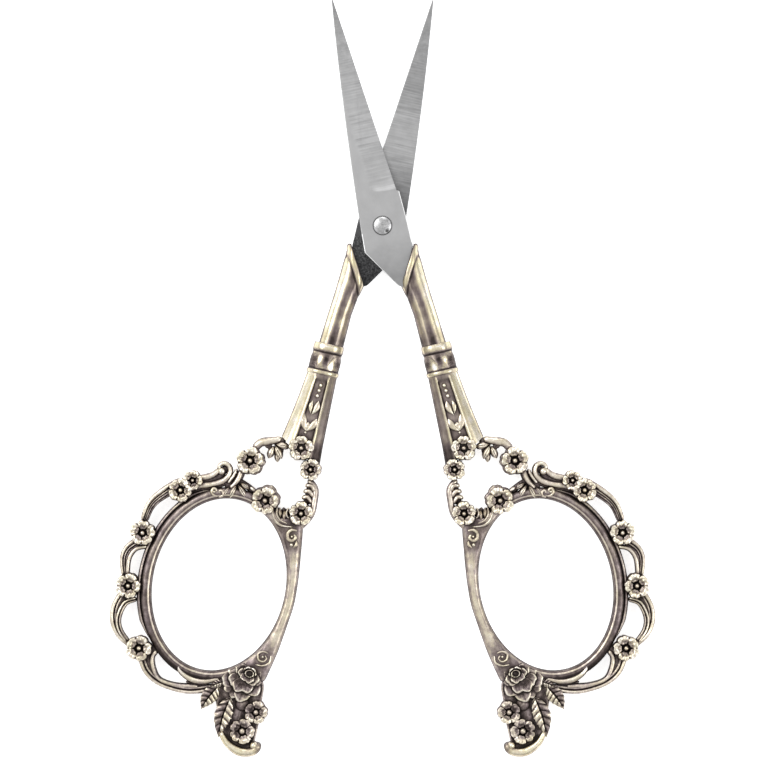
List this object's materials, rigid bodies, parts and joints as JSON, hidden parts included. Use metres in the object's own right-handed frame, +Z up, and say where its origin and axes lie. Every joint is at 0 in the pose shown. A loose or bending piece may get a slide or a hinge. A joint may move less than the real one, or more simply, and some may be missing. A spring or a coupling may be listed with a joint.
{
  "type": "scissors",
  "caption": "Small pointed scissors: straight steel blades on a domed rivet, and ornate openwork bow handles in antique bronze with blossoms, scrolls and leaves.",
  "frame": {"origin": "on the table, under the middle of the open scissors' outline", "axes": "+Y towards the blade tips, +Z up from the table, +X towards the right-hand handle"},
  "size_m": [0.0896, 0.1244, 0.0048],
  "materials": {
    "blade_steel": "satin, cross-ground",
    "rivet_steel": "worn bright",
    "bronze_shank": "antique bronze patina, rubbed bright on its edges",
    "bronze_collar": "antique bronze patina, rims rubbed to pale gold",
    "bronze_ring": "antique bronze patina, smooth",
    "bronze_scroll": "antique bronze patina, near-black in the grooves",
    "bronze_relief": "antique bronze patina, rubbed to pale gold on the relief"
  },
  "bodies": {
    "back_half": {"back_blade": "blade_steel", "left_socket_shank": "bronze_shank", "left_collar": "bronze_collar", "left_fluted_shank": "bronze_shank", "left_bud_drop": "bronze_relief", "left_yoke_scrolls": "bronze_scroll", "left_yoke_blossoms": "bronze_relief", "left_finger_ring": "bronze_ring", "left_curlicues": "bronze_relief", "left_border_scrolls": "bronze_scroll", "left_border_blossoms": "bronze_relief", "left_finial": "bronze_scroll", "left_rose": "bronze_relief", "left_leaves": "bronze_relief", "left_finial_blossoms": "bronze_relief"},
    "front_half": {"front_blade": "blade_steel", "pivot_rivet": "rivet_steel", "rivet_washer": "rivet_steel", "right_socket_shank": "bronze_shank", "right_collar": "bronze_collar", "right_fluted_shank": "bronze_shank", "right_bud_drop": "bronze_relief", "right_yoke_scrolls": "bronze_scroll", "right_yoke_blossoms": "bronze_relief", "right_finger_ring": "bronze_ring", "right_curlicues": "bronze_relief", "right_border_scrolls": "bronze_scroll", "right_border_blossoms": "bronze_relief", "right_finial": "bronze_scroll", "right_rose": "bronze_relief", "right_leaves": "bronze_relief", "right_finial_blossoms": "bronze_relief"}
  },
  "joints": [
    {"name": "pivot", "type": "hinge", "parent": "back_half", "child": "front_half", "pos_m": [0, 0.0251, 0.0024], "axis": [0, 0, 1], "range_deg": [-25.2, 70]}
  ]
}
